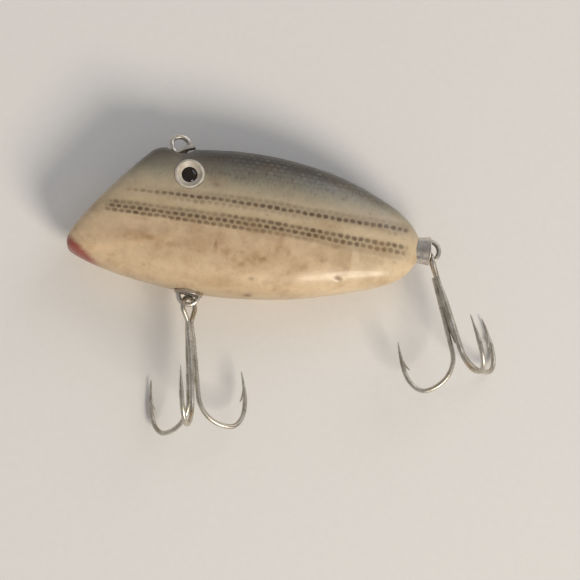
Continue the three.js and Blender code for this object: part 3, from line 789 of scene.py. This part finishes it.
WIRE_SIDES = 24
TIE_SHANK_BEND = 1.1
TIE_CROSSOVER = [(-1.12, -1.25), (-0.4, -1.66), (0.65, -1.02), (2.52, -0.24)]
RING_STARTS, RING_ENDS = -48, 251
RING_NECK = 1.1
WIRE_SOCKETS = {"Line": "Geometry", "Radius": "Float", "Tip radius": "Float", "Point length": "Float",
                "Point shoulder": "Float", "Pointed ends": "Int", "Sides": "Int", "Metal": "Material"}


def wire_drawing():
    """The tree that draws a round wire along each line of its carrier: its radius tapers to a
    point at the end of the line, at both ends, or at neither."""
    tree = bpy.data.node_groups.new("drawn_wire", "GeometryNodeTree")
    for name, kind in WIRE_SOCKETS.items():
        tree.interface.new_socket(name, in_out="INPUT", socket_type=f"NodeSocket{kind}")
    tree.interface.new_socket("Wire", in_out="OUTPUT", socket_type="NodeSocketGeometry")
    given = add(tree, "NodeGroupInput").outputs

    def of(kind, *values):
        return add(tree, "ShaderNodeMath", dict(enumerate(values)), operation=kind).outputs[0]

    curve = add(tree, "GeometryNodeMeshToCurve", {0: given["Line"]}).outputs[0]
    run = add(tree, "GeometryNodeSplineParameter").outputs["Length"]
    whole = add(tree, "GeometryNodeSplineLength").outputs["Length"]
    to_end = of("SUBTRACT", whole, run)
    from_start = of("ADD", run, of("MULTIPLY", of("LESS_THAN", given["Pointed ends"], 1.5), whole))
    left = of("DIVIDE", of("MINIMUM", to_end, from_start), given["Point length"])
    left = of("MAXIMUM", of("MINIMUM", left, 1.0), of("LESS_THAN", given["Pointed ends"], 0.5))
    rising = of("MULTIPLY_ADD", left, of("SUBTRACT", 1.0, given["Point shoulder"]), given["Point shoulder"])
    swell = of("MULTIPLY", of("SQRT", of("MAXIMUM", left, 0.0)), rising)
    grown = of("MULTIPLY", swell, of("SUBTRACT", given["Radius"], given["Tip radius"]))
    thickness = of("ADD", grown, given["Tip radius"])
    links = {"Resolution": given["Sides"], "Radius": 1.0}
    round_die = add(tree, "GeometryNodeCurvePrimitiveCircle", links).outputs[0]
    links = {"Curve": curve, "Profile Curve": round_die, "Scale": thickness, "Fill Caps": True}
    drawn = add(tree, "GeometryNodeCurveToMesh", links).outputs[0]
    smooth = add(tree, "GeometryNodeSetShadeSmooth", {"Geometry": drawn}).outputs[0]
    whole_wire = add(tree, "GeometryNodeRealizeInstances", {0: smooth}).outputs[0]
    links = {"Geometry": whole_wire, "Material": given["Metal"]}
    finished = add(tree, "GeometryNodeSetMaterial", links).outputs[0]
    add(tree, "NodeGroupOutput", {0: finished})
    return tree


WIRE_DRAWING = wire_drawing()
WIRE_ENDS = {"cut": 0, "pointed": 1, "both_pointed": 2}


def wire_mesh(lines, metal, ends="cut", radius=WIRE_RADIUS, tip=0.06, point=4.6, shoulder=0.55):
    """The mesh of a wire drawn along each of the lines, which are in lure millimetres."""
    points, edges = [], []
    for line in lines:
        first = len(points)
        points.extend(in_frame(line))
        edges.extend((k, k + 1) for k in range(first, len(points) - 1))
    mesh = bpy.data.meshes.new("wire_line")
    mesh.from_pydata([tuple(p) for p in points], edges, [])
    carrier = shown("wire_line", mesh)
    drawing = carrier.modifiers.new("drawn_wire", "NODES")
    drawing.node_group = WIRE_DRAWING
    sizes = {"Radius": radius * MM, "Tip radius": tip * MM, "Point length": point * MM,
             "Point shoulder": shoulder, "Pointed ends": WIRE_ENDS[ends], "Sides": WIRE_SIDES, "Metal": metal}
    for item in WIRE_DRAWING.interface.items_tree:
        if item.name in sizes:
            drawing[item.identifier] = sizes[item.name]
    bpy.context.view_layer.update()
    drawn = bpy.data.meshes.new_from_object(carrier.evaluated_get(bpy.context.evaluated_depsgraph_get()))
    bpy.data.objects.remove(carrier)
    return drawn


def one_piece(name, meshes, metal):
    """Several meshes as one object with outward faces."""
    gathered = bmesh.new()
    for mesh in meshes:
        gathered.from_mesh(mesh)
    bmesh.ops.remove_doubles(gathered, verts=gathered.verts, dist=1e-7)
    bmesh.ops.recalc_face_normals(gathered, faces=gathered.faces)
    whole = bpy.data.meshes.new(name)
    gathered.to_mesh(whole)
    gathered.free()
    whole.materials.append(metal)
    whole.shade_smooth()
    whole.set_sharp_from_angle(angle=math.radians(50))
    return shown(name, whole)


def ring_line():
    """A screw eye's wire in its hanger's own frame, +Y out of the cup."""
    turns = np.radians(np.linspace(RING_STARTS, RING_ENDS, 120))
    ring = RING_RADIUS * np.column_stack([np.cos(turns), np.sin(turns)])
    start, slope = ring[0], (-math.sin(turns[0]), math.cos(turns[0]))
    meet = (0, start[1] - start[0] * slope[1] / slope[0])
    neck = (0, -RING_RADIUS - RING_NECK)
    line = np.vstack([evenly([(0, -SHANK_IN_WOOD), neck], 12), bow(neck, meet, start, 16)[1:], ring[1:]])
    return np.column_stack([line, np.zeros(len(line))])


def tie_line():
    """The line tie's wire in its own frame, +Y out of the head."""
    low = -TIE_LOOP["half_height"]
    stops = [(0, -SHANK_IN_WOOD, 0), (0, low - 2 * TIE_SHANK_BEND, 0), (0, low - TIE_SHANK_BEND, 0)]
    for share in np.linspace(0, 1, 11):
        turn = math.radians(TIE_LOOP["from"] + share * (TIE_LOOP["to"] - TIE_LOOP["from"]))
        stops.append((TIE_LOOP["half_length"] * math.cos(turn), TIE_LOOP["half_height"] * math.sin(turn),
                      TIE_RISE * share))
    return batten([*stops, *((x, y, TIE_RISE) for x, y in TIE_CROSSOVER)], 10)


wire_nickel = worn_nickel("nickel_plated_wire", "#e6e1d6", "#c4bcad", "#6a5744", darkness=0.2)
for word, place, turn in HANGERS:
    ring_wire = wire_mesh([placed(ring_line(), place, turn)], wire_nickel)
    screw_eye = one_piece(f"{word}_screw_eye_wire", [ring_wire], wire_nickel)
    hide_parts(f"{word}_screw_eye")
    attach(screw_eye, "lure")
tie_wire = wire_mesh([placed(tie_line(), TIE_CENTRE)], wire_nickel, radius=TIE_RADIUS)
tie = one_piece("line_tie_wire", [tie_wire], wire_nickel)
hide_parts("line_tie")
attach(tie, "lure")

# The treble hooks
# Each is two hooks bent from one wire, with an eyelet between them, and a single hook brazed in
# beside their shanks. The points are ground, the barbs cut up, and the nickel is worn and rusting.

EYELET = {"top": 0.48, "straight": 0.3, "closes": 4.6, "shank_half": 0.47}
EYELET_TURNS_BY = 9.0
HOOK = {"shank_out": 1, "leaves": 17, "bottom_out": 6.95, "bottom_along": 22.42, "leg_out": 9.79,
        "leg_along": 17.89, "tip_out": 9.41, "tip_along": 13.03}
SINGLE_HOOK_DROP = 0.4
BARB = {"root": 16.4, "seat": 0.15, "tip": 18.3, "reach": 1.0, "bulge": 0.12, "radius": 0.27, "point": 2.1}
BRAZE = {"radius": 0.56, "from": 4.9, "to": 16.4, "end": 0.2, "taper": 3.0}
TREBLES = {
    "belly": {"swing": 10.95, "tilt": 1.7, "single": 224, "near": 103, "far": -24.5, "eyelet": 128,
              "half_width": 1.7},
    "tail": {"swing": 23.6, "tilt": 0.6, "single": 190, "near": 78.5, "far": -43, "eyelet": 94,
             "half_width": 1.3},
}


def arc(centre, half, start, end, steps=24):
    """A quarter of an oval, as points out from the shank and along it."""
    turn = np.radians(np.linspace(start, end, steps))
    return np.column_stack([centre[0] + half[0] * np.cos(turn), centre[1] + half[1] * np.sin(turn)])


def hook_plan(drop):
    """One hook's middle line from its eyelet end to its point: out from the shank, along it."""
    shank = evenly([(EYELET["shank_half"], EYELET["closes"]), (HOOK["shank_out"], HOOK["leaves"] + drop)], 40)
    inner = arc((HOOK["bottom_out"], HOOK["leaves"] + drop),
                (HOOK["bottom_out"] - HOOK["shank_out"], HOOK["bottom_along"] - HOOK["leaves"]), 180, 90)
    outer = arc((HOOK["bottom_out"], HOOK["leg_along"] + drop),
                (HOOK["leg_out"] - HOOK["bottom_out"], HOOK["bottom_along"] - HOOK["leg_along"]), 90, 0)
    middle = (HOOK["leg_along"] + HOOK["tip_along"]) / 2
    leg = bow((HOOK["leg_out"], HOOK["leg_along"] + drop), (HOOK["leg_out"], middle + drop),
              (HOOK["tip_out"], HOOK["tip_along"] + drop), 24)
    return sanded(evenly(np.vstack([shank, inner[1:], outer[1:], leg[1:]]), 150), 3)


def on_treble(plan, turn):
    """Points of a hook's plane as points of its treble, whose shank runs down -Y."""
    turn = np.radians(turn)
    return np.column_stack([plan[:, 0] * np.cos(turn), -plan[:, 1], plan[:, 0] * np.sin(turn)])


def eyelet_plan(half_width):
    """The eyelet's teardrop from one shank over its top and down to the other."""
    middle = EYELET["top"] + half_width
    flare = middle + EYELET["straight"]
    over = arc((0, middle), (half_width, half_width), 360, 180, 40)
    loop = [(EYELET["shank_half"], EYELET["closes"]), (half_width, flare), *over,
            (-half_width, flare), (-EYELET["shank_half"], EYELET["closes"])]
    return sanded(evenly(loop, 90), 4)


def eased(share):
    share = np.clip(share, 0, 1)
    return share * share * (3 - 2 * share)


def double_hook_line(setting):
    """The wire of the two hooks that share the eyelet, from one point to the other."""
    plan = hook_plan(0)
    across = eased((plan[:, 1] - EYELET["closes"]) / (EYELET_TURNS_BY - EYELET["closes"]))
    legs = []
    turns = ((setting["eyelet"], setting["near"]), (setting["eyelet"] - 180, setting["far"]))
    for eyelet_turn, hook_turn in turns:
        legs.append(on_treble(plan, eyelet_turn + (hook_turn - eyelet_turn) * across))
    over = on_treble(eyelet_plan(setting["half_width"]), setting["eyelet"])
    return sanded(np.vstack([legs[0][:0:-1], over, legs[1][1:]]), 2)


def barb_line(turn, drop):
    root = np.array((HOOK["leg_out"] - BARB["seat"], BARB["root"] + drop))
    tip = np.array((HOOK["leg_out"] - BARB["reach"], BARB["tip"] + drop))
    pull = (root + tip) / 2 + BARB["bulge"]
    return on_treble(bow(root, pull, tip, 14), turn)


def hung(points, ring, setting):
    """Points of a treble as it hangs on its ring, tilted off the surface and swung to one side."""
    swing = Matrix.Rotation(math.radians(setting["swing"]), 3, "Z")
    tilt = Matrix.Rotation(-math.radians(setting["tilt"]), 3, "X")
    return points @ np.array(swing @ tilt).T + ring


hook_nickel = worn_nickel("worn_hook_nickel", "#dcd6ca", "#b3aa9a", "#6b553f", darkness=0.32,
                          rough=(0.24, 0.46))
for word, ring in (("belly", BELLY_RING), ("tail", TAIL_RING)):
    setting = TREBLES[word]
    pair = hung(double_hook_line(setting), ring, setting)
    single = hung(on_treble(hook_plan(SINGLE_HOOK_DROP), setting["single"]), ring, setting)
    drops = (("near", 0), ("far", 0), ("single", SINGLE_HOOK_DROP))
    barbs = [hung(barb_line(setting[hook], drop), ring, setting) for hook, drop in drops]
    rod = evenly([(0, -BRAZE["from"], 0), (0, -BRAZE["to"], 0)], 30)
    treble = one_piece(f"{word}_treble_hook", [
        wire_mesh([pair], hook_nickel, "both_pointed"),
        wire_mesh([single], hook_nickel, "pointed"),
        wire_mesh(barbs, hook_nickel, "pointed", radius=BARB["radius"], point=BARB["point"]),
        wire_mesh([hung(rod, ring, setting)], hook_nickel, "both_pointed", radius=BRAZE["radius"],
                  tip=BRAZE["end"], point=BRAZE["taper"]),
    ], hook_nickel)
    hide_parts(f"{word}_treble")
    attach(treble, f"{word}_hook")

# The studio
# A plain pale table top of matt card, lit softly by a large light from the lower right of the
# picture, a weaker one from the upper right and an even pale room. It isn't part of the lure.

PICTURE_TURN = math.radians(8.3)
PICTURE_MIDDLE = Vector(in_frame((38.476, -2.393, 0)))
CAMERA_SIDE = (-0.0867, -0.1316, 1.0)
CAMERA_ROLL = math.radians(0.45)
CAMERA_AWAY = 0.3161
CAMERA_ANGLE = math.radians(17.71)
RIGHT = Vector((math.cos(PICTURE_TURN), math.sin(PICTURE_TURN), 0))
UP = Vector((-math.sin(PICTURE_TURN), math.cos(PICTURE_TURN), 0))
OUT = Vector((0, 0, 1))


def in_picture(right, up, out):
    """A direction of the picture as one of the frame."""
    return right * RIGHT + up * UP + out * OUT


def aimed(thing, direction, away, roll=0.0):
    """Sets a camera or light at a distance from the middle of the picture, looking at it."""
    back = direction.normalized()
    side = UP.cross(back).normalized()
    turn = Matrix((side, back.cross(side), back)).transposed() @ Matrix.Rotation(roll, 3, "Z")
    thing.matrix_world = Matrix.Translation(PICTURE_MIDDLE + back * away) @ turn.to_4x4()
    bpy.context.scene.collection.objects.link(thing)


def soft_light(name, direction, away, across, power, tone):
    lamp = bpy.data.lights.new(name, "AREA")
    lamp.shape, lamp.size, lamp.energy = "DISK", across, power
    lamp.color = linear(tone)[:3]
    aimed(bpy.data.objects.new(name, lamp), direction, away)


def card():
    material, tree = new_material("pale_matt_card")
    place = add(tree, "ShaderNodeTexCoord").outputs["Object"]
    grain = add(tree, "ShaderNodeTexNoise", {"Vector": place, "Scale": 900.0, "Detail": 2.0}).outputs[0]
    links = {0: grain, 6: linear("#f0eeea"), 7: linear("#f5f3ef")}
    colour = add(tree, "ShaderNodeMix", links, data_type="RGBA").outputs[2]
    return surfaced(material, {"Base Color": colour, "Roughness": 0.9})


TABLE_HALF = 3.0
table_mesh = bpy.data.meshes.new("table_top")
corners = [(x * TABLE_HALF, y * TABLE_HALF, 0) for x, y in ((-1, -1), (1, -1), (1, 1), (-1, 1))]
table_mesh.from_pydata(corners, [], [(0, 1, 2, 3)])
table_mesh.materials.append(card())
table = shown("table_top", table_mesh)

soft_light("window_light", in_picture(0.5, -0.75, 0.68), 1.2, 0.5, 9.0, "#fff4e4")
soft_light("side_light", in_picture(0.75, 0.75, 0.7), 1.2, 0.8, 2.4, "#f4f6ff")
room = bpy.data.worlds.new("pale_room")
room.use_nodes = True
room.node_tree.nodes["Background"].inputs[0].default_value = linear("#dcdcde")
room.node_tree.nodes["Background"].inputs[1].default_value = 0.45
bpy.context.scene.world = room

camera = bpy.data.objects.new("camera", bpy.data.cameras.new("camera"))
camera.data.angle = CAMERA_ANGLE
camera.data.clip_start = 0.01
aimed(camera, in_picture(*CAMERA_SIDE), CAMERA_AWAY, -CAMERA_ROLL)
bpy.context.scene.camera = camera
bpy.context.scene.view_settings.view_transform = "Standard"
